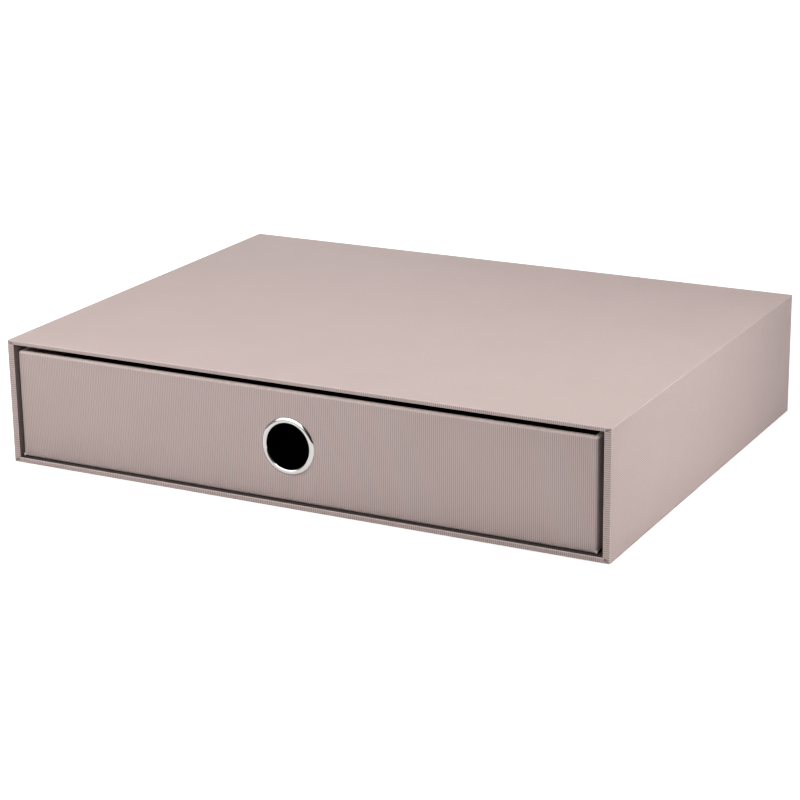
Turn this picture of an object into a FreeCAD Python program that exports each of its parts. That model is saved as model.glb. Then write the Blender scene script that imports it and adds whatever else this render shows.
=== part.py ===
import FreeCAD, Part

import os
import re

import Sketcher

# File box with one drawer: a slipcase of greyboard covered in ribbed paper, and a tray of the same make that
# slides out of its open front. Millimetres. X runs left to right, Y front to back and Z up. The origin is the
# middle of the case's underside, and the open front faces -Y.

SHEET = "Sizes"

SIZES = (
    # alias, size, what it is
    ("case_width", 335.0, "case over all, left to right"),
    ("case_depth", 253.0, "case over all, front to back"),
    ("case_height", 66.0, "case over all, foot to top"),
    ("case_board", 1.7, "greyboard of the case's top, sides and back; each side wall is two of these"),
    ("base_board", 2.3, "greyboard of the case's bottom"),
    ("cover_paper", 0.25, "ribbed covering paper"),
    ("lining_paper", 0.2, "smooth lining paper"),
    ("case_turn_in", 15.0, "covering paper turned in behind the case's front edge"),
    ("case_arris", 0.6, "rounding of the case's outer edges"),
    ("mouth_arris", 0.5, "rounding of the case's front edge on the inside"),
    ("back_panel_inset", 1.2, "edge of the case to the edge of the paper on its back"),
    ("drawer_recess", 2.4, "case front to drawer front, with the drawer shut"),
    ("gap_left", 0.4, "drawer to the left wall of the mouth"),
    ("gap_right", 3.6, "drawer to the right wall of the mouth"),
    ("gap_under", 0.2, "drawer to the floor of the mouth"),
    ("gap_over", 3.6, "drawer to the ceiling of the mouth"),
    ("gap_behind", 1.5, "drawer to the lining of the back wall"),
    ("drawer_board", 2.0, "greyboard of the drawer"),
    ("drawer_turn_in", 12.0, "covering paper turned down inside the drawer's rim"),
    ("drawer_corner", 2.2, "rounding of the drawer's upright corners"),
    ("drawer_edge", 1.6, "rounding of the drawer's rim and lower edge"),
    ("drawer_base_inset", 3.0, "edge of the drawer to the edge of the paper under it"),
    ("eyelet_shift", 1.7, "middle of the drawer front to the eyelet, to the left"),
    ("finger_radius", 11.9, "finger hole, clear radius inside the eyelet"),
    ("barrel_wall", 0.4, "sheet metal of the eyelet's barrel"),
    ("barrel_clearance", 0.15, "eyelet's barrel to the hole in the board"),
    ("flange_width", 2.75, "eyelet's rolled flange, width of the bead"),
    ("flange_rise", 0.95, "eyelet's rolled flange, height over the paper"),
    ("flange_round", 0.85, "rounding of the flange's bead, outside"),
    ("mouth_round", 0.7, "rounding of the flange's bead, into the barrel"),
    ("washer_step", 0.25, "edge of the flange to the edge of the washer behind it"),
    ("washer_thickness", 0.6, "washer inside the drawer, thickness"),
    ("washer_round", 0.3, "rounding of the washer's outer edge"),
    ("clinch_width", 0.9, "barrel's end spread over the washer"),
    ("clinch_rise", 0.4, "height of the spread end over the washer"),
    ("clinch_round", 0.3, "rounding of the spread end's edge"),
)

# Planes of the case's layers. Left and right mirror each other, so those in X are distances from the middle.
BOARD_X = "(case_width / 2 - cover_paper)"
PLY_X = f"({BOARD_X} - case_board)"
WALL_X = f"({PLY_X} - case_board)"
MOUTH_X = f"({WALL_X} - cover_paper)"
FLOOR_Z = "(cover_paper + base_board)"
MOUTH_FLOOR_Z = f"({FLOOR_Z} + cover_paper)"
CEILING_Z = "(case_height - cover_paper - case_board)"
MOUTH_CEILING_Z = f"({CEILING_Z} - cover_paper)"
FRONT_Y = "(-case_depth / 2)"
BOARD_FRONT_Y = f"({FRONT_Y} + cover_paper)"
TURN_IN_Y = f"({BOARD_FRONT_Y} + case_turn_in)"
BACK_Y = "(case_depth / 2)"
BACK_BOARD_Y = f"({BACK_Y} - cover_paper)"
WALL_BACK_Y = f"({BACK_BOARD_Y} - cover_paper)"
BACK_WALL_Y = f"({BACK_BOARD_Y} - case_board)"
BACK_LINING_Y = f"({BACK_WALL_Y} - lining_paper)"

# Planes of the drawer's layers, from the case's mouth and the running gaps.
LEFT_X = f"(gap_left - {MOUTH_X})"
RIGHT_X = f"({MOUTH_X} - gap_right)"
DRAWER_FRONT_Y = f"({FRONT_Y} + drawer_recess)"
DRAWER_BACK_Y = f"({BACK_LINING_Y} - gap_behind)"
DRAWER_FOOT_Z = f"({MOUTH_FLOOR_Z} + gap_under)"
RIM_Z = f"({MOUTH_CEILING_Z} - gap_over)"
DRAWER_FLOOR_Z = f"({DRAWER_FOOT_Z} + cover_paper + drawer_board)"
TURN_DOWN_Z = f"({RIM_Z} - cover_paper - drawer_turn_in)"
DRAWER_WALL = "(cover_paper + drawer_board)"
WALL_STACK = f"({DRAWER_WALL} + lining_paper)"

# The eyelet's axis, the hole that its barrel fills, and its rings from the bore outwards.
EYELET_X = f"(({LEFT_X} + {RIGHT_X}) / 2 - eyelet_shift)"
EYELET_Z = f"(({DRAWER_FOOT_Z} + {RIM_Z}) / 2)"
BARREL_RADIUS = "(finger_radius + barrel_wall)"
HOLE_RADIUS = f"({BARREL_RADIUS} + barrel_clearance)"
FLANGE_RADIUS = "(finger_radius + flange_width)"
WASHER_RADIUS = f"({FLANGE_RADIUS} - washer_step)"

# How far a cutting block reaches past what it cuts.
PAST = "case_height"

# Sketch points: the first and last of a line, and the sketch's own origin.
LINE_START = 1
LINE_END = 2
SKETCH_ORIGIN = (-1, 1)

NEAR = 1e-6
SUB_PARTS = []

doc = FreeCAD.newDocument("file_box")


def bound(expression):
    """The expression with the sheet's name in front of each of its aliases."""
    return re.sub(r"[a-z]+(?:_[a-z]+)+", lambda alias: f"{SHEET}.{alias.group(0)}", expression)


def fill_sheet():
    sheet = doc.addObject("Spreadsheet::Sheet", SHEET)
    for row, (alias, size, meaning) in enumerate(SIZES, start=1):
        sheet.set(f"A{row}", alias)
        sheet.set(f"B{row}", str(size))
        sheet.setAlias(f"B{row}", alias)
        sheet.set(f"C{row}", meaning)
    doc.recompute()


def place_between(solid, lengths, low, high):
    """Binds a box's three lengths and its lowest corner to the planes that it lies between."""
    for length, axis, start, end in zip(lengths, "xyz", low, high):
        solid.setExpression(length, bound(f"{end} - {start}"))
        solid.setExpression(f"Placement.Base.{axis}", bound(start))


def block(name, low, high):
    """A plain block between two corners."""
    box = doc.addObject("Part::Box", name)
    place_between(box, ("Length", "Width", "Height"), low, high)
    return box


def rounded_block(name, low, high, corner, edge):
    """A block with its upright corners rounded to one radius, and then its other edges to another."""
    body = doc.addObject("PartDesign::Body", name)
    solid = body.newObject("PartDesign::AdditiveBox", f"{name}_solid")
    place_between(solid, ("Length", "Width", "Height"), low, high)
    doc.recompute()
    for part, radius, chosen in (("corners", corner, is_upright), ("edges", edge, is_level)):
        base = body.Tip
        fillet = body.newObject("PartDesign::Fillet", f"{name}_{part}")
        fillet.Base = (base, [f"Edge{n}" for n, line in enumerate(base.Shape.Edges, start=1) if chosen(line)])
        fillet.setExpression("Radius", bound(radius))
        doc.recompute()
    return body


def is_level(line):
    return line.BoundBox.ZLength < NEAR


def is_upright(line):
    return not is_level(line)


def cylinder_along_y(name, radius, start, end):
    """A round rod on the eyelet's axis."""
    rod = doc.addObject("Part::Cylinder", name)
    rod.setExpression("Radius", bound(radius))
    rod.setExpression("Height", bound(f"{end} - {start}"))
    rod.Placement = FreeCAD.Placement(FreeCAD.Vector(), FreeCAD.Rotation(FreeCAD.Vector(1, 0, 0), -90))
    for axis, place in zip("xyz", (EYELET_X, start, EYELET_Z)):
        rod.setExpression(f"Placement.Base.{axis}", bound(place))
    return rod


def cut(name, base, *tools):
    """The base without each tool."""
    for number, tool in enumerate(tools, start=1):
        result = doc.addObject("Part::Cut", name if number == len(tools) else f"{name}_cut_{number}")
        result.Base = base
        result.Tool = tool
        base = result
    return base


def common(name, base, tool):
    result = doc.addObject("Part::Common", name)
    result.Base = base
    result.Tool = tool
    return result


def fuse(name, *pieces):
    result = doc.addObject("Part::MultiFuse", name)
    result.Shapes = list(pieces)
    return result


def node(piece, name):
    """Marks a finished sub-part, whose label is its name."""
    piece.Label = name
    SUB_PARTS.append((name, piece))
    return piece


def sheet_board(name, low, high):
    """A sub-part that is one plain rectangle of board or paper."""
    return node(block(name, low, high), name)


def case_boards():
    """The greyboard of the case. Top and bottom lie over and under the sides, two plies each, and the back
    board stands between all four. Its outer face lies one paper behind the walls' back edges."""
    ends = (BOARD_FRONT_Y, WALL_BACK_Y)
    levels = {"bottom": ("cover_paper", FLOOR_Z), "top": (CEILING_Z, "(case_height - cover_paper)")}
    for level, (low_z, high_z) in levels.items():
        sheet_board(f"case_{level}_board", (f"-{BOARD_X}", ends[0], low_z), (BOARD_X, ends[1], high_z))
    plies = {"outer": (PLY_X, BOARD_X), "inner": (WALL_X, PLY_X)}
    for ply, (near_x, far_x) in plies.items():
        for side, (low_x, high_x) in {"left": (f"-{far_x}", f"-{near_x}"), "right": (near_x, far_x)}.items():
            sheet_board(f"case_{side}_{ply}_board", (low_x, ends[0], FLOOR_Z), (high_x, ends[1], CEILING_Z))
    sheet_board("case_back_board", (f"-{WALL_X}", BACK_WALL_Y, FLOOR_Z), (WALL_X, BACK_BOARD_Y, CEILING_Z))


def case_papers():
    """The ribbed covering. One skin wraps the boards, turns in round the front edge and covers the walls' back
    edges. A mitred seam along each lower corner parts it into the cover and the sheet under the base."""
    low, high = (f"-{WALL_X}", FRONT_Y, FLOOR_Z), (WALL_X, BACK_BOARD_Y, CEILING_Z)
    outside = rounded_block("case_outside", ("(-case_width / 2)", FRONT_Y, "0"),
                            ("(case_width / 2)", BACK_BOARD_Y, "case_height"), "case_arris", "case_arris")
    inside = block("case_inside", (f"-{BOARD_X}", BOARD_FRONT_Y, "cover_paper"),
                   (BOARD_X, WALL_BACK_Y, "(case_height - cover_paper)"))
    shell = cut("case_shell", outside, inside, block("case_bore", low, high))
    margin = block("case_margin", (low[0], FRONT_Y, low[2]), (high[0], TURN_IN_Y, high[2]))
    mouth = block("case_mouth", (f"-{MOUTH_X}", f"({FRONT_Y} - {PAST})", MOUTH_FLOOR_Z),
                  (MOUTH_X, f"({TURN_IN_Y} + {PAST})", MOUTH_CEILING_Z))
    skin = fuse("case_skin", shell, cut("case_turned_margin", margin, mouth))

    seam = doc.addObject("Part::Wedge", "case_seam")
    slope = f"(case_width / 2 - {MOUTH_X})"
    for side, sign in (("min", "-"), ("max", "")):
        seam.setExpression(f"X{side}", bound(f"{sign}(case_width / 2 + {slope})"))
        seam.setExpression(f"X2{side}", bound(f"{sign}(case_width / 2 - 2 * {slope})"))
        for plane in ("Z", "Z2"):
            seam.setExpression(f"{plane}{side}", bound(f"{sign}case_depth"))
    seam.setExpression("Ymin", bound(f"-{MOUTH_FLOOR_Z}"))
    seam.setExpression("Ymax", bound(f"2 * {MOUTH_FLOOR_Z}"))
    seam.Placement.Rotation = FreeCAD.Rotation(FreeCAD.Vector(1, 0, 0), 90)

    rounded_mouth(cut("case_cover_sheet", skin, seam), "case_cover_paper")
    rounded_mouth(common("case_base_sheet", skin, seam), "case_base_paper")

    sheet_board("case_back_paper", ("(back_panel_inset - case_width / 2)", BACK_BOARD_Y, "back_panel_inset"),
                ("(case_width / 2 - back_panel_inset)", BACK_Y, "(case_height - back_panel_inset)"))


def rounded_mouth(paper, name):
    """The paper with its edge round the case's mouth rounded, where it folds over the board."""
    body = doc.addObject("PartDesign::Body", name)
    body.BaseFeature = paper
    doc.recompute()
    base = body.Tip
    mouth = doc.getObject("case_mouth").Shape.BoundBox
    front = doc.getObject("case_outside").Shape.BoundBox.YMin
    names = []
    for number, line in enumerate(base.Shape.Edges, start=1):
        box = line.BoundBox
        on_front = abs(box.YMin - front) < NEAR and abs(box.YMax - front) < NEAR
        on_mouth = mouth.XMin - NEAR < box.XMin and box.XMax < mouth.XMax + NEAR
        on_mouth = on_mouth and mouth.ZMin - NEAR < box.ZMin and box.ZMax < mouth.ZMax + NEAR
        if on_front and on_mouth:
            names.append(f"Edge{number}")
    fillet = body.newObject("PartDesign::Fillet", f"{name}_mouth_edge")
    fillet.Base = (base, names)
    fillet.setExpression("Radius", bound("mouth_arris"))
    node(body, name)


def case_linings():
    """Smooth lining papers. The back one covers its whole wall, and the others run up to it from the turned-in
    margin, the floor and ceiling from side to side and the side ones between them."""
    sheet_board("case_back_lining", (f"-{WALL_X}", BACK_LINING_Y, FLOOR_Z), (WALL_X, BACK_WALL_Y, CEILING_Z))
    ends = (TURN_IN_Y, BACK_LINING_Y)
    floor_top, ceiling_foot = f"({FLOOR_Z} + lining_paper)", f"({CEILING_Z} - lining_paper)"
    for name, low_z, high_z in (("floor", FLOOR_Z, floor_top), ("ceiling", ceiling_foot, CEILING_Z)):
        sheet_board(f"case_{name}_lining", (f"-{WALL_X}", ends[0], low_z), (WALL_X, ends[1], high_z))
    face_x = f"({WALL_X} - lining_paper)"
    for side, (low_x, high_x) in {"left": (f"-{WALL_X}", f"-{face_x}"), "right": (face_x, WALL_X)}.items():
        sheet_board(f"case_{side}_lining", (low_x, ends[0], floor_top), (high_x, ends[1], ceiling_foot))


def inset_corners(inset, low_z, high_z):
    """The drawer's footprint drawn in on all four sides, between two heights."""
    return ((f"({LEFT_X} + {inset})", f"({DRAWER_FRONT_Y} + {inset})", low_z),
            (f"({RIGHT_X} - {inset})", f"({DRAWER_BACK_Y} - {inset})", high_z))


def drawer_boards(core, hole):
    """The greyboard tray. The base runs under all four walls, the front and back from side to side, and the
    side walls stand between them. Each is cut from one core with the drawer's roundings."""
    outer, inner = inset_corners("0", DRAWER_FOOT_Z, RIM_Z), inset_corners(DRAWER_WALL, DRAWER_FLOOR_Z, RIM_Z)
    (left, front, foot), (right, back, rim) = outer
    (inner_left, inner_front, floor), (inner_right, inner_back, _) = inner
    regions = {
        "floor": ((left, front, foot), (right, back, floor)),
        "back": ((left, inner_back, floor), (right, back, rim)),
        "left": ((left, inner_front, floor), (inner_left, inner_back, rim)),
        "right": ((inner_right, inner_front, floor), (right, inner_back, rim)),
    }
    for place, (low, high) in regions.items():
        name = f"drawer_{place}_board"
        node(common(name, core, block(f"{name}_region", low, high)), name)
    name = "drawer_front_board"
    region = block(f"{name}_region", (left, front, floor), (right, inner_front, rim))
    node(cut(name, common(f"{name}_blank", core, region), hole), name)


def drawer_papers(core, hole):
    """Ribbed paper wraps the walls, goes over the rim and down inside, and turns under the base. A base sheet
    fills the space inside that edge. Smooth lining covers the walls below the turned-down margin, and the floor."""
    outside = rounded_block("drawer_outside", *inset_corners("0", DRAWER_FOOT_Z, RIM_Z),
                            "drawer_corner", "drawer_edge")
    base_layer = ("drawer_base_inset", f"({DRAWER_FOOT_Z} - {PAST})", f"({DRAWER_FOOT_Z} + cover_paper)")
    base_window = block("drawer_base_window", *inset_corners(*base_layer))
    bore = block("drawer_bore", *inset_corners(DRAWER_WALL, DRAWER_FLOOR_Z, f"({RIM_Z} + {PAST})"))
    wrap = cut("drawer_wrap", outside, core, bore, base_window)
    margin = block("drawer_margin", *inset_corners(DRAWER_WALL, TURN_DOWN_Z, RIM_Z))
    clear = block("drawer_clear", *inset_corners(f"({DRAWER_WALL} + cover_paper)", DRAWER_FLOOR_Z,
                                                 f"({RIM_Z} + {PAST})"))
    wrap = fuse("drawer_wrap_whole", wrap, cut("drawer_turned_margin", margin, clear))
    name = "drawer_cover_paper"
    node(cut(name, wrap, hole), name)
    sheet_board("drawer_base_paper", *inset_corners("drawer_base_inset", DRAWER_FOOT_Z,
                                                    f"({DRAWER_FOOT_Z} + cover_paper)"))
    floor_top = f"({DRAWER_FLOOR_Z} + lining_paper)"
    sheet_board("drawer_floor_lining", *inset_corners(DRAWER_WALL, DRAWER_FLOOR_Z, floor_top))
    strip = block("drawer_lining_strip", *inset_corners(DRAWER_WALL, floor_top, TURN_DOWN_Z))
    room = block("drawer_room", *inset_corners(WALL_STACK, DRAWER_FLOOR_Z, f"({RIM_Z} + {PAST})"))
    name = "drawer_wall_lining"
    node(cut(name, strip, room, hole), name)


def ring(name, corners, roundings):
    """A ring turned about the eyelet's axis. Its outline's corners are named, each with its radius and its depth
    behind the drawer's front, and the roundings give the radius at some of them."""
    body = doc.addObject("PartDesign::Body", name)
    plane = next(part for part in body.Origin.OriginFeatures if part.Role == "XY_Plane")
    sketch = body.newObject("Sketcher::SketchObject", f"{name}_outline")
    sketch.AttachmentSupport = [(plane, "")]
    sketch.MapMode = "FlatFace"
    count = len(corners)
    rough = [FreeCAD.Rotation(FreeCAD.Vector(0, 0, 1), 360 / count * number).multVec(FreeCAD.Vector(1, 0, 0))
             for number in range(count)]
    for number in range(count):
        sketch.addGeometry(Part.LineSegment(rough[number], rough[(number + 1) % count]))
    for number in range(count):
        joined = (number, LINE_END, (number + 1) % count, LINE_START)
        sketch.addConstraint(Sketcher.Constraint("Coincident", *joined))
    for number, place in enumerate(corners.values()):
        for direction, distance in zip(("DistanceX", "DistanceY"), place):
            points = (*SKETCH_ORIGIN, number, LINE_START)
            made = sketch.addConstraint(Sketcher.Constraint(direction, *points, 1.0))
            sketch.setExpression(f"Constraints[{made}]", bound(distance))
    tip = body.newObject("PartDesign::Revolution", f"{name}_turned")
    tip.Profile = sketch
    tip.ReferenceAxis = (sketch, ["V_Axis"])
    doc.recompute()
    for corner, radius in roundings.items():
        place = sketch.Geometry[list(corners).index(corner)].StartPoint
        rims = [f"Edge{n}" for n, line in enumerate(tip.Shape.Edges, start=1) if is_rim(line, place)]
        fillet = body.newObject("PartDesign::Fillet", f"{name}_{corner}")
        fillet.Base = (tip, rims)
        fillet.setExpression("Radius", bound(radius))
        doc.recompute()
        tip = fillet
    for axis, place in zip("xyz", (EYELET_X, DRAWER_FRONT_Y, EYELET_Z)):
        body.setExpression(f"Placement.Base.{axis}", bound(place))
    return node(body, name)


def is_rim(line, place):
    """Whether an edge is the circle that a corner of the outline draws as it turns."""
    if not isinstance(line.Curve, Part.Circle):
        return False
    return abs(line.Curve.Radius - place.x) < NEAR and abs(line.Curve.Center.y - place.y) < NEAR


def eyelet():
    """The finger hole's eyelet of sheet steel. One rolled bead stands on the paper and rounds into the barrel,
    which goes through the board and is spread over a washer inside the drawer."""
    seat = f"({WALL_STACK} + washer_thickness)"
    spread_radius = f"({BARREL_RADIUS} + clinch_width)"
    ring("finger_hole_eyelet", {
        "bore_front": ("finger_radius", "-flange_rise"),
        "bead_outer": (FLANGE_RADIUS, "-flange_rise"),
        "flange_foot": (FLANGE_RADIUS, "0"),
        "barrel_front": (BARREL_RADIUS, "0"),
        "barrel_back": (BARREL_RADIUS, seat),
        "spread_foot": (spread_radius, seat),
        "spread_edge": (spread_radius, f"{seat} + clinch_rise"),
        "bore_back": ("finger_radius", f"{seat} + clinch_rise"),
    }, {"bead_outer": "flange_round", "bore_front": "mouth_round", "spread_edge": "clinch_round"})
    ring("finger_hole_washer", {
        "inner_front": (HOLE_RADIUS, WALL_STACK),
        "outer_front": (WASHER_RADIUS, WALL_STACK),
        "outer_back": (WASHER_RADIUS, seat),
        "inner_back": (HOLE_RADIUS, seat),
    }, {"outer_back": "washer_round"})


def check_and_export():
    """Every feature has to be computed and every sub-part one valid solid before any file is written."""
    doc.recompute()
    for feature in doc.Objects:
        if {"Invalid", "Error"} & set(feature.State):
            raise RuntimeError(f"{feature.Name} failed: {feature.State}")
    for name, piece in SUB_PARTS:
        if piece.Shape.isNull() or not piece.Shape.isValid() or len(piece.Shape.Solids) != 1:
            raise RuntimeError(f"{name} is not one valid solid")
    os.makedirs("parts", exist_ok=True)
    for name, piece in SUB_PARTS:
        piece.Shape.exportStep(f"parts/{name}.step")


fill_sheet()
case_boards()
case_papers()
case_linings()

drawer_core = rounded_block("drawer_core", *inset_corners("cover_paper", f"({DRAWER_FOOT_Z} + cover_paper)",
                                                          f"({RIM_Z} - cover_paper)"),
                            "(drawer_corner - cover_paper)", "(drawer_edge - cover_paper)")
finger_hole = cylinder_along_y("finger_hole", HOLE_RADIUS, f"({DRAWER_FRONT_Y} - {DRAWER_WALL})",
                               f"({DRAWER_FRONT_Y} + 2 * {WALL_STACK})")
drawer_boards(drawer_core, finger_hole)
drawer_papers(drawer_core, finger_hole)
eyelet()
check_and_export()
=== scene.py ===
import math

import bmesh
import bpy
from mathutils import Matrix, Quaternion, Vector


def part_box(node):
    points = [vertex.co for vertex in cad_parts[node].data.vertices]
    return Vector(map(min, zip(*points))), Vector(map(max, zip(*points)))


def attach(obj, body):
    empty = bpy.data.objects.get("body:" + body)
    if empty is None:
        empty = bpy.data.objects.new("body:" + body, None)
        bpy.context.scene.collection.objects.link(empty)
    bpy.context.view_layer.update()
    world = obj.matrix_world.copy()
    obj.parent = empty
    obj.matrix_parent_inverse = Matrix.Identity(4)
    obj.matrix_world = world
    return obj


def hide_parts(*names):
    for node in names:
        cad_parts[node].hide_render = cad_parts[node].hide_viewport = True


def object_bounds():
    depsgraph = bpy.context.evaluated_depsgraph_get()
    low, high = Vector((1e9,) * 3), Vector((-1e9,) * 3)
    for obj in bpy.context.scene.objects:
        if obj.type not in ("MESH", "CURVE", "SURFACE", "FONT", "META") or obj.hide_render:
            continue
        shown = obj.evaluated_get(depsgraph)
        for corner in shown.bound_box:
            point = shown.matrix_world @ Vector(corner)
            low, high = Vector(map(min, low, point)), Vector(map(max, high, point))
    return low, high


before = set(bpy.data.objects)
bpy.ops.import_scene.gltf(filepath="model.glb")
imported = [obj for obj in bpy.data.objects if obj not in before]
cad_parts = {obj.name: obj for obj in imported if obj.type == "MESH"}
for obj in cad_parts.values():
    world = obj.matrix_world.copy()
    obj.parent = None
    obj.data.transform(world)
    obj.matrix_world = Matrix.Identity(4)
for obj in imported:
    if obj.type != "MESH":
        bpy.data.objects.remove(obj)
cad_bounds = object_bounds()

# ---- Case cover -----------------------------------------------------------------------------------------
# One sheet of ribbed paper pasted over the top and both sides of the greyboard case. Its front margin goes
# round the front edge and inside, mitred at each corner, and its back margin covers the ends of the walls.

MM = 0.001
RIGHT, BACK, UP = Vector((1, 0, 0)), Vector((0, 1, 0)), Vector((0, 0, 1))

# Points closer than this are merged, and in a row of ribs those closer than this share of a rib's width.
WELD = 0.0001 * MM
WELD_SHARE = 0.01

# A rib runs from groove to groove. Its shape is (share of its width, share of the groove's depth), and the
# ribs of a face are given as (depth of the groove, how much painted shade darkens it).
RIB_PITCH = 1.035 * MM
RIB_SHAPE = ((0, 1), (0.2, 0.45), (0.5, 0), (0.8, 0.45), (1, 1))
CASE_RIBS = (0.07 * MM, 0.6)
CASE_RIM_RIBS = (0.15 * MM, 0.95)
PAPER_BODY = 0.14 * MM

# Folds are rounded in a few steps. On a covering's outline, the rim's points run from the first fold's
# second point to the second fold's last but one.
FOLD_STEPS = 3
RIM_POINTS = range(2, 2 * FOLD_STEPS + 2)
CASE_ARRIS = 0.6 * MM
MOUTH_ARRIS = 0.45 * MM
BACK_ARRIS = 0.5 * MM
SEAM_REACH = 0.3 * MM

# Paleness painted on the folds, partly as wear and partly as highlight, all round and at the mitred sides,
# and painted shade on the paper pasted down inside the mouth, as (points of the outline that it covers, how
# much it darkens).
CASE_WEAR_AND_HIGHLIGHT = 0.6
SIDE_WEAR_AND_HIGHLIGHT = 0.2
RIGHT_MOUTH_SHADE = (3, 1.0)
LEFT_MOUTH_SHADE = (3, 0.8)
NO_MOUTH_SHADE = (0, 0.0)

# The paper's own colour, the painted shade in its grooves, the pale of its folds, painted partly as wear
# and partly as highlight, and the painted shade inside the mouth and along the seams.
DUSTY_ROSE = (205, 187, 183)
ROSE_GROOVE_SHADE = (124, 104, 101)
ROSE_EDGE_WEAR_AND_HIGHLIGHT = (240, 227, 222)
ROSE_MOUTH_SHADE = (66, 56, 54)
SEAM_SHADE = (88, 72, 70)
GROOVE_SHADE_FALLOFF = 1.4


def srgb(colour):
    """A colour of three 0 to 255 display values as the linear colour that a shader takes."""
    shares = [value / 255 for value in colour]
    return (*[((c + 0.055) / 1.055) ** 2.4 if c > 0.04045 else c / 12.92 for c in shares], 1)


class Wire:
    """One socket's output. Python's operators on it add Math nodes to its tree."""

    def __init__(self, wiring, socket):
        self.wiring, self.socket = wiring, socket

    def math(self, operation, *terms):
        return self.wiring.add("ShaderNodeMath", {"operation": operation}, dict(enumerate(terms)))

    def __add__(self, other):
        return self.math("ADD", self, other)

    def __sub__(self, other):
        return self.math("SUBTRACT", self, other)

    def __rsub__(self, other):
        return self.math("SUBTRACT", other, self)

    def __mul__(self, other):
        return self.math("MULTIPLY", self, other)

    def __pow__(self, other):
        return self.math("POWER", self, other)

    def least(self, other):
        return self.math("MINIMUM", self, other)

    def most(self, other):
        return self.math("MAXIMUM", self, other)

    def between(self, low, high):
        """The same pattern with 0 at low and 1 at high."""
        return self * (high - low) + low

    __radd__ = __add__
    __rmul__ = __mul__


class Wiring:
    """A node tree being wired. add() takes a node's type, its settings and its sockets' values or wires."""

    def __init__(self, tree):
        self.tree = tree
        tree.nodes.clear()

    def add(self, kind, settings=None, inputs=None, output=None):
        node = self.tree.nodes.new(kind)
        for name, value in (settings or {}).items():
            if name == "stops":
                while len(node.color_ramp.elements) < len(value):
                    node.color_ramp.elements.new(1)
                for element, (place, colour) in zip(node.color_ramp.elements, value):
                    element.position, element.color = place, colour
            else:
                setattr(node, name, value)
        for key, value in (inputs or {}).items():
            if isinstance(value, Wire):
                self.tree.links.new(value.socket, node.inputs[key])
            else:
                node.inputs[key].default_value = value
        if output is not None:
            return Wire(self, node.outputs[output])
        live = [socket for socket in node.outputs if socket.enabled]
        return Wire(self, live[0]) if live else node

    def mix(self, share, first, second):
        return self.add("ShaderNodeMix", {"data_type": "RGBA"}, {0: share, 6: first, 7: second})

    def noise(self, place, scale, detail, roughness=0.5):
        return self.add("ShaderNodeTexNoise", {}, {"Vector": place, "Scale": scale, "Detail": detail,
                                                   "Roughness": roughness})


def new_finish(name):
    """A new material, and the wiring of its nodes."""
    material = bpy.data.materials.new(name)
    material.use_nodes = True
    return material, Wiring(material.node_tree)


def finish_surface(wiring, inputs):
    """Ends a material in one Principled shader."""
    shader = wiring.add("ShaderNodeBsdfPrincipled", {}, inputs)
    wiring.add("ShaderNodeOutputMaterial", {}, {"Surface": shader})


def ribbed_paper():
    """Matte uncoated paper. Painted shade darkens the grooves, the folded edges are painted pale, partly as
    wear and partly as highlight, painted shade darkens what is pasted down inside the mouth, the seams get
    a painted line of shade, and fibres and clouds vary the colour."""
    material, wiring = new_finish("ribbed_paper")
    place = wiring.add("ShaderNodeTexCoord", output="Object")
    groove = wiring.add("ShaderNodeAttribute", {"attribute_name": "groove"}, output="Fac")
    arris = wiring.add("ShaderNodeAttribute", {"attribute_name": "arris"}, output="Fac")
    glued = wiring.add("ShaderNodeAttribute", {"attribute_name": "glued"}, output="Fac")
    seam = wiring.add("ShaderNodeAttribute", {"attribute_name": "seam"}, output="Fac")
    fibres = wiring.noise(place, scale=2600.0, detail=3.0)
    clouds = wiring.noise(place, scale=34.0, detail=3.0)
    patchiness = wiring.noise(place, scale=420.0, detail=2.0)
    # Painted shade in the grooves, painted pale folds (partly wear, partly highlight), and painted shade
    # inside the mouth and along the seams.
    colour = wiring.mix(groove ** GROOVE_SHADE_FALLOFF, srgb(DUSTY_ROSE), srgb(ROSE_GROOVE_SHADE))
    colour = wiring.mix(arris * patchiness.between(0.4, 1.1), colour, srgb(ROSE_EDGE_WEAR_AND_HIGHLIGHT))
    colour = wiring.mix(glued, colour, srgb(ROSE_MOUTH_SHADE))
    colour = wiring.mix(seam * patchiness.between(0.5, 1.0), colour, srgb(SEAM_SHADE))
    tone = fibres.between(0.92, 1.08) + clouds.between(-0.035, 0.035)
    grey = wiring.add("ShaderNodeCombineColor", {}, {0: tone, 1: tone, 2: tone})
    colour = wiring.add("ShaderNodeMix", {"data_type": "RGBA", "blend_type": "MULTIPLY"},
                        {0: 1.0, 6: colour, 7: grey})
    grain = wiring.add("ShaderNodeBump", {}, {"Strength": 0.25, "Distance": 0.03 * MM, "Height": fibres})
    finish_surface(wiring, {"Base Color": colour, "Roughness": fibres.between(0.7, 0.82), "Normal": grain,
                            "Specular IOR Level": 0.25})
    return material


def folded_path(corners, radii):
    """Points along an outline with rounded corners, as (point, normal to the left, share of a fold)."""
    path = []

    def left_of(travel):
        return Vector((-travel.y, travel.x))

    travels = [(end - start).normalized() for start, end in zip(corners, corners[1:])]
    path.append((corners[0], left_of(travels[0]), 0.0))
    for corner, radius, before, after in zip(corners[1:], radii, travels, travels[1:]):
        turn = before.angle_signed(after, 0)
        reach = radius * math.tan(abs(turn) / 2)
        first, last = corner - before * reach, corner + after * reach
        side = -math.copysign(1, turn)
        centre = first + left_of(before) * side * radius
        for step in range(FOLD_STEPS + 1):
            share = step / FOLD_STEPS
            travel = before.lerp(after, share).normalized() if 0 < share < 1 else (before, after)[step > 0]
            normal = left_of(travel)
            path.append((centre - normal * side * radius, normal, 1.0 - abs(2 * share - 1) ** 2))
    path.append((corners[-1], left_of(travels[-1]), 0.0))
    return path


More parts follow.
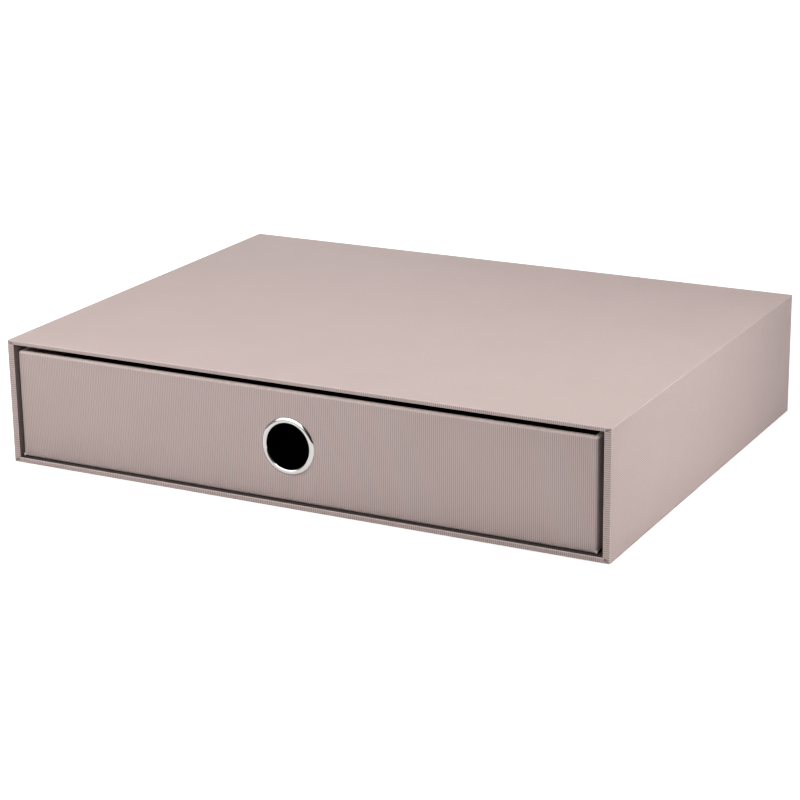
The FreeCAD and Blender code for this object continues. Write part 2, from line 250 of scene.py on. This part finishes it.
def rib_strip(path, pitch, depth, shade, wear_and_highlight=0.0, rim=None, mouth_shading=NO_MOUTH_SHADE):
    """One rib's width of folded paper, from groove to groove. X is across the rib, and Y and Z are the
    path's own directions. shade says how much painted shade darkens the grooves, and the next value how
    pale the folds are painted, partly as wear and partly as highlight. rim gives the ribs another depth and
    shade round the rim, and the last value says how many of the path's first points get painted shade
    inside the mouth, and how much. The mesh carries all this, and which way out each point is."""
    mesh = bpy.data.meshes.new("rib_strip")
    points, faces, normals = [], [], []
    marks = {"groove": [], "arris": [], "glued": [], "seam": []}
    for place, (point, normal, fold) in enumerate(path):
        deep, dark = rim if rim and place in RIM_POINTS else (depth, shade)
        for across, sinking in RIB_SHAPE:
            sunk = point - normal * deep * sinking
            points.append((across * pitch, sunk.x, sunk.y))
            normals.extend((0, normal.x, normal.y))
            for name, value in (("groove", sinking * dark), ("arris", fold * wear_and_highlight), ("seam", 0.0),
                                ("glued", mouth_shading[1] if place < mouth_shading[0] else 0.0)):
                marks[name].append(value)
    columns = len(RIB_SHAPE)
    for row in range(len(path) - 1):
        for column in range(columns - 1):
            corner = row * columns + column
            faces.append((corner, corner + 1, corner + columns + 1, corner + columns))
    mesh.from_pydata(points, [], faces)
    for name, values in marks.items():
        mesh.attributes.new(name, "FLOAT", "POINT").data.foreach_set("value", values)
    mesh.attributes.new("outward", "FLOAT_VECTOR", "POINT").data.foreach_set("vector", normals)
    return mesh


def ribbed_wrap_tree():
    """Geometry Nodes that lay one strip side by side into a sheet and round back the sheet's ends."""
    tree = bpy.data.node_groups.new("Ribbed wrap", "GeometryNodeTree")
    for name, kind in (("Strip", "Geometry"), ("Ribs", "Int"), ("Pitch", "Float"),
                       ("End Rounding", "Float"), ("Paper", "Material")):
        tree.interface.new_socket(name=name, in_out="INPUT", socket_type=f"NodeSocket{kind}")
    tree.interface.new_socket(name="Sheet", in_out="OUTPUT", socket_type="NodeSocketGeometry")
    wiring = Wiring(tree)
    given = tree.nodes.new("NodeGroupInput")
    strip, ribs, pitch, rounding, paper = [Wire(wiring, given.outputs[i]) for i in range(5)]
    step = wiring.add("ShaderNodeCombineXYZ", {}, {"X": pitch})
    line = wiring.add("GeometryNodeMeshLine", {"mode": "OFFSET"}, {"Count": ribs, "Offset": step})
    laid = wiring.add("GeometryNodeInstanceOnPoints", {}, {"Points": line, "Instance": strip})
    sheet = wiring.add("GeometryNodeRealizeInstances", {}, {"Geometry": laid})
    sheet = wiring.add("GeometryNodeMergeByDistance", {},
                       {"Geometry": sheet, "Distance": pitch * WELD_SHARE})
    place = wiring.add("GeometryNodeInputPosition")
    across = wiring.add("ShaderNodeSeparateXYZ", {}, {"Vector": place}, "X")
    from_end = across.least(ribs * pitch - across).most(0.0)
    inset = (rounding - from_end).most(0.0)
    drop = rounding - (rounding * rounding - inset * inset).most(0.0) ** 0.5
    outward = wiring.add("GeometryNodeInputNamedAttribute", {"data_type": "FLOAT_VECTOR"},
                         {"Name": "outward"}, "Attribute")
    shift = wiring.add("ShaderNodeVectorMath", {"operation": "SCALE"}, {0: outward, "Scale": 0.0 - drop})
    sheet = wiring.add("GeometryNodeSetPosition", {}, {"Geometry": sheet, "Offset": shift})
    sheet = wiring.add("GeometryNodeSetMaterial", {}, {"Geometry": sheet, "Material": paper})
    wiring.add("NodeGroupOutput", {}, {0: sheet})
    return tree


def applied(mesh, name, modifiers):
    """The mesh with modifiers applied, each given as its type, its settings and its inputs by name."""
    holder = bpy.data.objects.new(name, mesh)
    bpy.context.scene.collection.objects.link(holder)
    for kind, settings, inputs in modifiers:
        modifier = holder.modifiers.new(kind.lower(), kind)
        for key, value in settings.items():
            setattr(modifier, key, value)
        if inputs:
            sockets = {item.name: item.identifier for item in modifier.node_group.interface.items_tree}
            for key, value in inputs.items():
                modifier[sockets[key]] = value
    shape = bpy.data.meshes.new_from_object(holder.evaluated_get(bpy.context.evaluated_depsgraph_get()))
    bpy.data.objects.remove(holder)
    shape.name = name
    return shape


def faced(low, high, outward, up):
    """How a box lies for a sheet on its side that faces outward: the sheet's own third direction, where
    that side is along outward, and the box's reach along the third direction and from the top down."""
    along = outward.cross(up)
    face = max(outward.dot(low), outward.dot(high))
    span = sorted((along.dot(low), along.dot(high)))
    ends = sorted((up.dot(low), up.dot(high)), reverse=True)
    return along, face, span, ends


def wrap(low, high, outward, rim, wall, margin, under, radii, rounding, neighbours, depth, shade, wear_and_highlight,
         *ribbing):
    """One wall's share of a ribbed covering round a box from low to high, as a closed sheet. outward and
    rim are the wall's directions. The sheet starts margin behind the rim on the wall's inside, goes over
    the wall's thickness and down its outside, and ends under the far edge. Both its sides are mitred to the
    neighbouring walls, given by their thickness, in a seam that shows at the rim."""
    along, face, span, ends = faced(low, high, outward, rim)
    path = folded_path([Vector(place) for place in (
        (face - wall, ends[0] - margin), (face - wall, ends[0]), (face, ends[0]),
        (face, ends[1]), (face - under, ends[1]))], radii)
    ribs = round((span[1] - span[0]) / RIB_PITCH)
    width = (span[1] - span[0]) / ribs
    mesh = applied(rib_strip(path, width, depth, shade, wear_and_highlight, *ribbing), "ribbed_sheet", [
        ("NODES", {"node_group": WRAP_TREE},
         {"Ribs": ribs, "Pitch": width, "End Rounding": rounding, "Paper": PAPER})])
    sheet = bmesh.new()
    sheet.from_mesh(mesh)
    seam, arris = sheet.verts.layers.float["seam"], sheet.verts.layers.float["arris"]
    # The rounded ends of the sheet are painted a little pale too, partly as wear and partly as highlight.
    for point in sheet.verts:
        bend = min(point.co.x, ribs * width - point.co.x) / rounding
        if bend < 1:
            point[arris] = max(point[arris], wear_and_highlight * SIDE_WEAR_AND_HIGHLIGHT * (1 - (2 * max(bend, 0) - 1) ** 2))
    for end, side, neighbour in zip((0, ribs * width), (1, -1), neighbours):
        cut = bmesh.ops.bisect_plane(
            sheet, geom=[*sheet.verts, *sheet.edges, *sheet.faces], clear_outer=True, dist=WELD,
            plane_co=(end, face, 0), plane_no=Vector((-wall * side, -neighbour, 0)).normalized())
        # Points of the mitred cut near the rim get a painted line of shade.
        for point in cut["geom_cut"]:
            if isinstance(point, bmesh.types.BMVert) and point.co.z > ends[0] - SEAM_REACH:
                point[seam] = 1.0
    turned = Matrix((along, outward, rim)).transposed().to_4x4()
    sheet.transform(turned @ Matrix.Translation((span[0], 0, 0)))
    sheet.to_mesh(mesh)
    sheet.free()
    return applied(mesh, "ribbed_sheet", [("SOLIDIFY", {"thickness": PAPER_BODY, "offset": -1}, None)])


def joined(name, meshes, sharp_degrees=40):
    """One smooth-shaded object of several meshes, with its sharp folds kept sharp."""
    whole = bmesh.new()
    for mesh in meshes:
        whole.from_mesh(mesh)
    shape = bpy.data.meshes.new(name)
    whole.to_mesh(shape)
    whole.free()
    for material in meshes[0].materials:
        shape.materials.append(material)
    shape.shade_smooth()
    shape.set_sharp_from_angle(angle=math.radians(sharp_degrees))
    piece = bpy.data.objects.new(name, shape)
    bpy.context.scene.collection.objects.link(piece)
    return piece


PAPER = ribbed_paper()
WRAP_TREE = ribbed_wrap_tree()

# The case's own box reaches from the foot of the base paper to the top of the cover.
case_low, case_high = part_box("case_cover_paper")
case_low.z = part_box("case_base_paper")[0].z
side_board_low, side_board_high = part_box("case_right_inner_board")
sheet_thickness = case_high.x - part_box("case_right_outer_board")[1].x
side_wall = case_high.x - side_board_low.x + sheet_thickness
lid_wall = case_high.z - side_board_high.z + sheet_thickness
base_wall = side_board_low.z - case_low.z + sheet_thickness
turned_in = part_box("case_floor_lining")[0].y - case_low.y


def case_side(outward, wall, neighbours, wear_and_highlight=CASE_WEAR_AND_HIGHLIGHT, mouth_shading=NO_MOUTH_SHADE):
    """The covering of one wall of the case, with its rim at the front."""
    return wrap(case_low, case_high, outward, -BACK, wall, turned_in, wall - sheet_thickness,
                (MOUTH_ARRIS, CASE_ARRIS, BACK_ARRIS), CASE_ARRIS, neighbours, *CASE_RIBS, wear_and_highlight,
                CASE_RIM_RIBS, mouth_shading)


case_cover = joined("case_cover", [
    case_side(UP, lid_wall, (side_wall, side_wall)),
    case_side(RIGHT, side_wall, (lid_wall, base_wall), mouth_shading=RIGHT_MOUTH_SHADE),
    case_side(-RIGHT, side_wall, (base_wall, lid_wall), mouth_shading=LEFT_MOUTH_SHADE)])
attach(case_cover, "case")
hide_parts("case_cover_paper")

# ---- Case base ------------------------------------------------------------------------------------------
# The sheet of the same ribbed paper under the case. It goes round the front edge and a little way over the
# floor of the mouth, and meets the sides of the cover in a mitred seam. Its margin on the floor of the
# mouth is painted dark with shade, and its front fold is painted the palest, partly as wear and partly as
# highlight.

BASE_WEAR_AND_HIGHLIGHT = 1.0
MOUTH_FLOOR_SHADE = (2, 1.0)

case_base = joined("case_base", [
    case_side(-UP, base_wall, (side_wall, side_wall), BASE_WEAR_AND_HIGHLIGHT, MOUTH_FLOOR_SHADE)])
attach(case_base, "case")
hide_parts("case_base_paper")

# ---- Case back ------------------------------------------------------------------------------------------
# A panel of the same ribbed paper, pasted last on the back board and over the cover's margin on the ends of
# the walls. It is cut a little smaller than the case.


def panel(low, high, outward, up):
    """A flat ribbed sheet between two corners, facing outward, with its ribs running along up."""
    along, face, span, ends = faced(low, high, outward, up)
    ribs = round((span[1] - span[0]) / RIB_PITCH)
    width = (span[1] - span[0]) / ribs
    outline = folded_path([Vector((face, ends[0])), Vector((face, ends[1]))], ())
    mesh = applied(rib_strip(outline, width, *CASE_RIBS), "ribbed_panel", [
        ("NODES", {"node_group": WRAP_TREE},
         {"Ribs": ribs, "Pitch": width, "End Rounding": 0.0, "Paper": PAPER}),
        ("SOLIDIFY", {"thickness": PAPER_BODY, "offset": -1}, None)])
    mesh.transform(Matrix((along, outward, up)).transposed().to_4x4() @ Matrix.Translation((span[0], 0, 0)))
    return mesh


case_back = joined("case_back", [panel(*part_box("case_back_paper"), BACK, UP)])
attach(case_back, "case")
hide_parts("case_back_paper")

# ---- Greyboard ------------------------------------------------------------------------------------------
# Solid pulp board, die-cut to the size of each wall and glued up. All of it is covered with paper, and its
# only open edge is in the hole for the eyelet's barrel.

PULP = (148, 141, 131)
PULP_FLECK = (104, 98, 92)
FLECK_LEVELS = (0.56, 0.66)
BLACK, WHITE = (0, 0, 0, 1), (1, 1, 1, 1)


def greyboard():
    """Pressed waste paper: dull grey-brown, with short dark flecks and a slightly felted face."""
    material, wiring = new_finish("greyboard")
    place = wiring.add("ShaderNodeTexCoord", output="Object")
    shreds = wiring.noise(place, scale=900.0, detail=4.0, roughness=0.7)
    flecks = wiring.add("ShaderNodeValToRGB", {"stops": tuple(zip(FLECK_LEVELS, (BLACK, WHITE)))},
                        {0: shreds}, "Color")
    felt = wiring.noise(place, scale=3200.0, detail=2.0)
    colour = wiring.mix(flecks, srgb(PULP), srgb(PULP_FLECK))
    nap = wiring.add("ShaderNodeBump", {}, {"Strength": 0.4, "Distance": 0.05 * MM, "Height": felt})
    finish_surface(wiring, {"Base Color": colour, "Roughness": felt.between(0.85, 0.95), "Normal": nap,
                            "Specular IOR Level": 0.2})
    return material


def dress(names, material):
    """Gives CAD nodes a material in place of their own."""
    for name in names:
        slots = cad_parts[name].data.materials
        slots.clear()
        slots.append(material)


dress([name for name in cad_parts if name.endswith("_board")], greyboard())

# ---- Lining ---------------------------------------------------------------------------------------------
# Smooth black paper that lines the case and the inside of the drawer. Each sheet is cut to its wall and
# pasted on the board, up to the edge of the covering that is turned in over the rim.

LINING_BLACK = (24, 22, 22)
LINING_WORN = (44, 41, 40)
WEAR_STRETCH = (9.0, 1.0, 9.0)
WEAR_FALLOFF = 3.0
WEAR_SHARE = 0.9


def lining_paper():
    """Dyed-through black paper with a slight sheen, greyed in streaks as the drawer rubs along it."""
    material, wiring = new_finish("lining_paper")
    place = wiring.add("ShaderNodeTexCoord", output="Object")
    stretched = wiring.add("ShaderNodeMapping", {}, {"Vector": place, "Scale": WEAR_STRETCH})
    wear = wiring.noise(stretched, scale=26.0, detail=4.0, roughness=0.65)
    tooth = wiring.noise(place, scale=2400.0, detail=2.0)
    colour = wiring.mix(wear ** WEAR_FALLOFF * WEAR_SHARE, srgb(LINING_BLACK), srgb(LINING_WORN))
    relief = wiring.add("ShaderNodeBump", {}, {"Strength": 0.3, "Distance": 0.02 * MM, "Height": tooth})
    finish_surface(wiring, {"Base Color": colour, "Roughness": wear.between(0.62, 0.48), "Normal": relief,
                            "Specular IOR Level": 0.3})
    return material


dress([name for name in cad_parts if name.endswith("_lining")], lining_paper())

# ---- Drawer cover ---------------------------------------------------------------------------------------
# Ribbed paper wrapped round the four walls of the drawer with its ribs upright, taken over the rim and down
# inside, and turned under the base. Its folds are rounder than the case's. A round hole takes the eyelet.

DRAWER_CORNER = 1.9 * MM
DRAWER_RIM = 1.6 * MM
DRAWER_RIM_INSIDE = 0.6 * MM
DRAWER_FOOT = 1.6 * MM
# The drawer's ribs, as (depth of the groove, how much painted shade darkens it), and how pale its folds are
# painted, partly as wear and partly as highlight.
DRAWER_RIBS = (0.18 * MM, 0.8)
DRAWER_WEAR_AND_HIGHLIGHT = 1.0
BORE_RADIUS = 11.9 * MM
BARREL = 0.4 * MM
BARREL_CLEARANCE = 0.15 * MM
PUNCH_LENGTH = 20 * MM
PUNCH_SIDES = 96

# The ribs near the hole are first cut into bands, over an area in shares of the hole's radius. A point that
# lies less deep than this share of a groove is then on the ribs' outside.
HOLE_BANDS = 14
PARTED_HEIGHT = 1.1
PARTED_WIDTH = 1.2
DEEPEST_GROOVE = 1.01

drawer_low, drawer_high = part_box("drawer_cover_paper")
drawer_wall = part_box("drawer_left_board")[1].x - drawer_low.x + sheet_thickness
turned_down = drawer_high.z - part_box("drawer_wall_lining")[1].z
turned_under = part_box("drawer_base_paper")[0].x - drawer_low.x


def drawer_side(outward):
    """The covering of one wall of the drawer, with its rim at the top."""
    return wrap(drawer_low, drawer_high, outward, UP, drawer_wall, turned_down, turned_under,
                (DRAWER_RIM_INSIDE, DRAWER_RIM, DRAWER_FOOT), DRAWER_CORNER, (drawer_wall, drawer_wall),
                *DRAWER_RIBS, DRAWER_WEAR_AND_HIGHLIGHT)


def punched(mesh, centre, radius):
    """The sheet with a round hole through it, along Y. Its long faces are parted around the hole first, and
    the new points get the painted groove shade that their depth calls for."""
    sheet = bmesh.new()
    sheet.from_mesh(mesh)
    for cut in range(HOLE_BANDS + 1):
        height = centre.z + radius * PARTED_HEIGHT * (2 * cut / HOLE_BANDS - 1)
        near = [face for face in sheet.faces
                if abs(face.calc_center_median().x - centre.x) < radius * PARTED_WIDTH]
        bmesh.ops.bisect_plane(sheet, geom=[*near, *{edge for face in near for edge in face.edges}],
                               plane_co=(0, 0, height), plane_no=UP, dist=WELD)
    sheet.to_mesh(mesh)
    sheet.free()
    punch = bpy.data.meshes.new("punch")
    rod = bmesh.new()
    bmesh.ops.create_cone(rod, cap_ends=True, segments=PUNCH_SIDES, radius1=radius, radius2=radius,
                          depth=PUNCH_LENGTH,
                          matrix=Matrix.Translation(centre) @ Matrix.Rotation(math.pi / 2, 4, "X"))
    rod.to_mesh(punch)
    rod.free()
    tool = bpy.data.objects.new("punch", punch)
    bpy.context.scene.collection.objects.link(tool)
    hollow = applied(mesh, mesh.name, [("BOOLEAN", {"object": tool, "operation": "DIFFERENCE",
                                                    "solver": "EXACT"}, None)])
    bpy.data.objects.remove(tool)
    for point, groove in zip(hollow.vertices, hollow.attributes["groove"].data):
        sunk = (point.co.y - centre.y) / DRAWER_RIBS[0]
        if sunk < DEEPEST_GROOVE:
            groove.value = max(sunk, 0.0) * DRAWER_RIBS[1]
    return hollow


eyelet_low, eyelet_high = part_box("finger_hole_eyelet")
hole_centre = (eyelet_low + eyelet_high) / 2
hole_centre.y = drawer_low.y
hole_radius = BORE_RADIUS + BARREL + BARREL_CLEARANCE

drawer_front = joined("drawer_cover_front", [punched(drawer_side(-BACK), hole_centre, hole_radius)])
drawer_walls = joined("drawer_cover_walls", [drawer_side(outward) for outward in (RIGHT, BACK, -RIGHT)])
for cover in (drawer_front, drawer_walls):
    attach(cover, "drawer")
    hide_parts("drawer_cover_paper")

# ---- Fold tips ------------------------------------------------------------------------------------------
# At three corners of the drawer's front a tip of the covering has sprung up from its fold. Each is a curled
# tab of the same paper, a millimetre or two long, painted pale, partly as wear and partly as highlight.

TIP_WIDTH = 1.9 * MM
TIP_CURL = 0.5 * MM
TIP_CUP = 0.1 * MM
TIP_BLUNTNESS = 0.02
TIP_STEPS = 6
TIP_COLUMNS = (-1, -0.5, 0, 0.5, 1)

# Each tip's root, from the corner of the drawer that it has sprung from, and its length. The two at the
# right lie across the rounded corner: their width runs to the right, and back by this share of that.
TOP_RIGHT_TIP = (Vector((-0.2, 0, -1.1)) * MM, 1.5 * MM)
FOOT_RIGHT_TIP = (Vector((-0.1, 0, 1.5)) * MM, 1.2 * MM)
FOOT_LEFT_TIP = (Vector((0.3, -0.2, 1.6)) * MM, 1.3 * MM)
TIP_SLANT = 0.6


def fold_tip(corner, offset, length, across, rise, outward):
    """A tab of paper that narrows from its root, near a corner, and curls outward as it rises."""
    root = corner + offset
    tab = bmesh.new()
    rows = []
    for step in range(TIP_STEPS + 1):
        share = step / TIP_STEPS
        middle = root + rise * length * share + outward * TIP_CURL * share ** 2
        half = TIP_WIDTH / 2 * math.sqrt(1 + TIP_BLUNTNESS - share)
        rows.append([tab.verts.new(middle + across * half * side - outward * TIP_CUP * side ** 2)
                     for side in TIP_COLUMNS])
    for lower, upper in zip(rows, rows[1:]):
        for n in range(len(lower) - 1):
            tab.faces.new((lower[n], lower[n + 1], upper[n + 1], upper[n]))
    mesh = bpy.data.meshes.new("fold_tip")
    tab.to_mesh(mesh)
    tab.free()
    # The whole tab is painted pale, partly as wear and partly as highlight.
    mesh.attributes.new("arris", "FLOAT", "POINT").data.foreach_set("value", [1.0] * len(mesh.vertices))
    mesh.materials.append(PAPER)
    return applied(mesh, "fold_tip", [("SOLIDIFY", {"thickness": PAPER_BODY, "offset": -1}, None)])


corner_in = DRAWER_CORNER * (1 - math.sqrt(0.5))
right_edge, left_edge = drawer_high.x - corner_in, drawer_low.x + corner_in
front_edge = drawer_low.y + corner_in
top_right = Vector((right_edge, front_edge, drawer_high.z))
foot_right = Vector((right_edge, front_edge, drawer_low.z))
foot_left = Vector((left_edge, front_edge, drawer_low.z))
round_corner = (RIGHT + BACK * TIP_SLANT).normalized()
out_of_corner = (RIGHT - BACK).normalized()
fold_tips = joined("fold_tips", [
    fold_tip(top_right, *TOP_RIGHT_TIP, round_corner, UP, out_of_corner),
    fold_tip(foot_right, *FOOT_RIGHT_TIP, round_corner, -UP, out_of_corner),
    fold_tip(foot_left, *FOOT_LEFT_TIP, RIGHT, -UP, -BACK)])
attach(fold_tips, "drawer")

# ---- Drawer base ----------------------------------------------------------------------------------------
# A sheet of the same paper under the drawer. It is pasted on the floor board, between the turned-under
# edges of the cover.

drawer_underside = joined("drawer_underside", [panel(*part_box("drawer_base_paper"), -UP, BACK)])
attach(drawer_underside, "drawer")
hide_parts("drawer_base_paper")

# ---- Eyelet ---------------------------------------------------------------------------------------------
# A two-part eyelet of nickel-plated steel in the drawer's front. A rolled bead lies on the paper, and its
# barrel goes through the board and is spread over a washer inside the drawer.

EYELET_TURNS = 160
NICKEL = (180, 178, 176)
BEAD_FLANK = 2.4 * MM
BEAD_EDGE = 0.3 * MM
BEAD_MOUTH = 0.8 * MM
CLINCH_WIDTH = 0.9 * MM


def nickel():
    """Bright nickel plate with faint handling smears."""
    material, wiring = new_finish("nickel_plate")
    place = wiring.add("ShaderNodeTexCoord", output="Object")
    smears = wiring.noise(place, scale=180.0, detail=3.0)
    ripple = wiring.noise(place, scale=700.0, detail=1.0)
    waves = wiring.add("ShaderNodeBump", {}, {"Strength": 0.08, "Distance": 0.02 * MM, "Height": ripple})
    finish_surface(wiring, {"Base Color": srgb(NICKEL), "Metallic": 1.0,
                            "Roughness": smears.between(0.07, 0.15), "Normal": waves})
    return material


def turned_ring(name, outline, centre, material):
    """A closed outline of (radius, depth) points turned about an axis along Y."""
    ring = bmesh.new()
    profile = [ring.verts.new((radius, depth, 0)) for radius, depth in outline]
    edges = [ring.edges.new((point, profile[(n + 1) % len(profile)])) for n, point in enumerate(profile)]
    bmesh.ops.spin(ring, geom=profile + edges, cent=(0, 0, 0), axis=(0, 1, 0), steps=EYELET_TURNS,
                   angle=2 * math.pi, use_merge=True)
    bmesh.ops.remove_doubles(ring, verts=ring.verts, dist=WELD)
    bmesh.ops.recalc_face_normals(ring, faces=ring.faces)
    ring.transform(Matrix.Translation(centre))
    mesh = bpy.data.meshes.new(name)
    ring.to_mesh(mesh)
    ring.free()
    mesh.materials.append(material)
    return joined(name, [mesh])


def arc(centre, reach, start, end, steps):
    """Points on an ellipse that reaches so far along the radius and so far in depth, with angles in degrees
    from the radial direction towards the inside of the drawer."""
    angles = [math.radians(start + (end - start) * n / steps) for n in range(steps + 1)]
    return [(centre[0] + reach[0] * math.cos(a), centre[1] + reach[1] * math.sin(a)) for a in angles]


NICKEL_PLATE = nickel()
washer_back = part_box("finger_hole_washer")[1].y
flange_radius = (eyelet_high.x - eyelet_low.x) / 2
flange_rise = drawer_low.y - eyelet_low.y
depth_to_seat = washer_back - drawer_low.y
spread = eyelet_high.y - washer_back
edge_offset = (BEAD_FLANK - BEAD_EDGE) * math.sqrt(0.5)
crest = flange_radius - BEAD_EDGE - edge_offset
flank_centre = BEAD_FLANK - flange_rise
barrel_radius = BORE_RADIUS + BARREL
eyelet = turned_ring("eyelet", [
    *arc((crest + edge_offset, flank_centre - edge_offset), (BEAD_EDGE, BEAD_EDGE), 0, -45, steps=8),
    *arc((crest, flank_centre), (BEAD_FLANK, BEAD_FLANK), -45, -90, steps=14)[1:],
    *arc((crest, BEAD_MOUTH - flange_rise), (crest - BORE_RADIUS, BEAD_MOUTH), -90, -180, steps=12)[1:],
    (BORE_RADIUS, depth_to_seat),
    *arc((BORE_RADIUS + spread, depth_to_seat), (spread, spread), 180, 90, steps=5),
    (barrel_radius + CLINCH_WIDTH, depth_to_seat + spread),
    (barrel_radius + CLINCH_WIDTH, depth_to_seat),
    (barrel_radius, depth_to_seat),
    (barrel_radius, 0),
], hole_centre, NICKEL_PLATE)
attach(eyelet, "drawer")
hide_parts("finger_hole_eyelet")
dress(["finger_hole_washer"], NICKEL_PLATE)

# ---- Studio ---------------------------------------------------------------------------------------------
# A white table in a white room, lit by nine soft boxes: two at the front left, three overhead, three small
# ones on the right and one low behind on the left. Those on the right and two overhead stand behind the
# plane of the box's front, so that they leave the front to the lamps on the left.

FLOOR_REACH = 6.0
FLOOR_WHITE = 0.9
GLOW_NEAR = 0.55
GLOW_RADII = (0.2, 0.6)
AMBIENT = 0.03
SCREEN_SIDE = Vector((-0.30, -0.65, 0.68)).normalized()
SCREEN_SPREAD = (math.radians(33), math.radians(40))
OPEN_SIDE = Vector((0.72, -0.60, 0.33)).normalized()
OPEN_SPREAD = (math.radians(31), math.radians(42))
MIRRORED_WALL = 0.4
MIRRORED_SCREEN = 2.4


def seen_share(wiring, kinds=("Camera", "Glossy", "Transmission")):
    """1 for rays of the given kinds, which see the studio, and 0 for those that carry its light."""
    rays = wiring.tree.nodes.new("ShaderNodeLightPath")
    shares = [Wire(wiring, rays.outputs[f"Is {kind} Ray"]) for kind in kinds]
    for share in shares[1:]:
        shares[0] = shares[0].most(share)
    return shares[0]


def white_floor():
    """A white table. It glows evenly to the camera, apart from a round patch under the object, where the
    lamps make it as bright and the object's shadow shows."""
    material, wiring = new_finish("table")
    place = wiring.add("ShaderNodeTexCoord", output="Object")
    away = wiring.add("ShaderNodeVectorMath", {"operation": "LENGTH"}, {0: place}, "Value")
    glow = wiring.add("ShaderNodeMapRange", {"interpolation_type": "SMOOTHSTEP"},
                      {"Value": away, "From Min": GLOW_RADII[0], "From Max": GLOW_RADII[1],
                       "To Min": GLOW_NEAR, "To Max": 1.0})
    plain = wiring.add("ShaderNodeBsdfDiffuse", {}, {"Color": (FLOOR_WHITE, FLOOR_WHITE, FLOOR_WHITE, 1)})
    light = wiring.add("ShaderNodeEmission", {}, {"Strength": glow * seen_share(wiring)})
    both = wiring.add("ShaderNodeAddShader", {}, {0: plain, 1: light})
    wiring.add("ShaderNodeOutputMaterial", {}, {"Surface": both})
    return material


bpy.ops.mesh.primitive_plane_add(size=FLOOR_REACH, location=(0, 0, cad_bounds[0].z))
floor = bpy.context.object
floor.name = "table"
floor.data.materials.append(white_floor())


def towards(wiring, side, spread):
    """1 in a stretch of the studio's walls round one direction, and 0 outside it."""
    way = wiring.add("ShaderNodeTexCoord", output="Generated")
    facing = wiring.add("ShaderNodeVectorMath", {"operation": "DOT_PRODUCT"}, {0: way, 1: side}, "Value")
    return wiring.add("ShaderNodeMapRange", {"interpolation_type": "SMOOTHSTEP"},
                      {"Value": facing, "From Min": math.cos(spread[1]), "From Max": math.cos(spread[0])})


def studio_walls():
    """Pure white where they are seen, and almost no light on the object. In metal they are pale, with a
    bright screen round the front lamps and a dark stretch on the studio's open side at the front right."""
    world = bpy.data.worlds.new("studio")
    world.use_nodes = True
    wiring = Wiring(world.node_tree)
    screen = towards(wiring, SCREEN_SIDE, SCREEN_SPREAD)
    closed = towards(wiring, OPEN_SIDE, OPEN_SPREAD).between(1.0, 0.0)
    mirrored = screen.between(MIRRORED_WALL, MIRRORED_SCREEN) * closed
    seen = seen_share(wiring, ("Camera", "Transmission"))
    in_metal = seen_share(wiring, ("Glossy",))
    strength = (mirrored * in_metal + AMBIENT).most(seen)
    light = wiring.add("ShaderNodeBackground", {}, {"Color": (1, 1, 1, 1), "Strength": strength})
    wiring.add("ShaderNodeOutputWorld", {}, {"Surface": light})
    return world


bpy.context.scene.world = studio_walls()


def soft_box(name, place, target, size, watts):
    """A rectangular lamp at place that faces target."""
    lamp = bpy.data.lights.new(name, "AREA")
    lamp.shape = "RECTANGLE"
    lamp.size, lamp.size_y = size
    lamp.energy = watts
    box = bpy.data.objects.new(name, lamp)
    box.location = place
    box.rotation_euler = (Vector(target) - Vector(place)).to_track_quat("-Z", "Y").to_euler()
    bpy.context.scene.collection.objects.link(box)


soft_box("front_near", (-0.22, -0.5, 0.42), (-0.05, -0.12, 0.04), (0.75, 0.3), 1.95)
soft_box("front_high", (-0.3, -0.6, 0.7), (-0.05, -0.12, 0.04), (0.5, 0.4), 1.4)
soft_box("overhead_near", (0.2, -0.15, 0.6), (0.1, -0.1, 0.04), (0.25, 0.1), 0.43)
soft_box("overhead_long", (0.1, -0.05, 0.5), (0.1, -0.05, 0.05), (0.4, 0.14), 0.36)
soft_box("overhead_wide", (0.0, 0.1, 1.0), (0.0, 0.05, 0.05), (0.8, 0.4), 3.4)
soft_box("right_near", (0.42, -0.06, 0.10), (0.16, -0.06, 0.03), (0.12, 0.12), 0.19)
soft_box("right_low", (0.7, 0.0, 0.14), (0.1, 0.0, 0.03), (0.2, 0.2), 0.13)
soft_box("right_high", (0.5, -0.04, 0.25), (0.16, -0.04, 0.03), (0.15, 0.15), 0.46)
soft_box("back_low", (-0.6, 0.8, 0.12), (-0.05, 0.1, 0.03), (0.4, 0.4), 2.5)

# ---- Camera ---------------------------------------------------------------------------------------------
# A long lens a little over a metre from the box, at its front right and above it, so that the drawer's
# front, the top and the right side all show.

CAMERA_PLACE = Vector((0.549, -1.0565, 0.4012))
CAMERA_AIM = Vector((-0.4433, 0.8429, -0.3050))
CAMERA_ROLL = math.radians(-0.75)
CAMERA_LENS = 105.6
CAMERA_SENSOR = 36

camera = bpy.data.objects.new("camera", bpy.data.cameras.new("camera"))
camera.data.lens = CAMERA_LENS
camera.data.sensor_width = CAMERA_SENSOR
camera.location = CAMERA_PLACE
camera.rotation_mode = "QUATERNION"
camera.rotation_quaternion = CAMERA_AIM.to_track_quat("-Z", "Y") @ Quaternion((0, 0, 1), CAMERA_ROLL)
bpy.context.scene.collection.objects.link(camera)
bpy.context.scene.camera = camera
bpy.context.scene.view_settings.view_transform = "Standard"
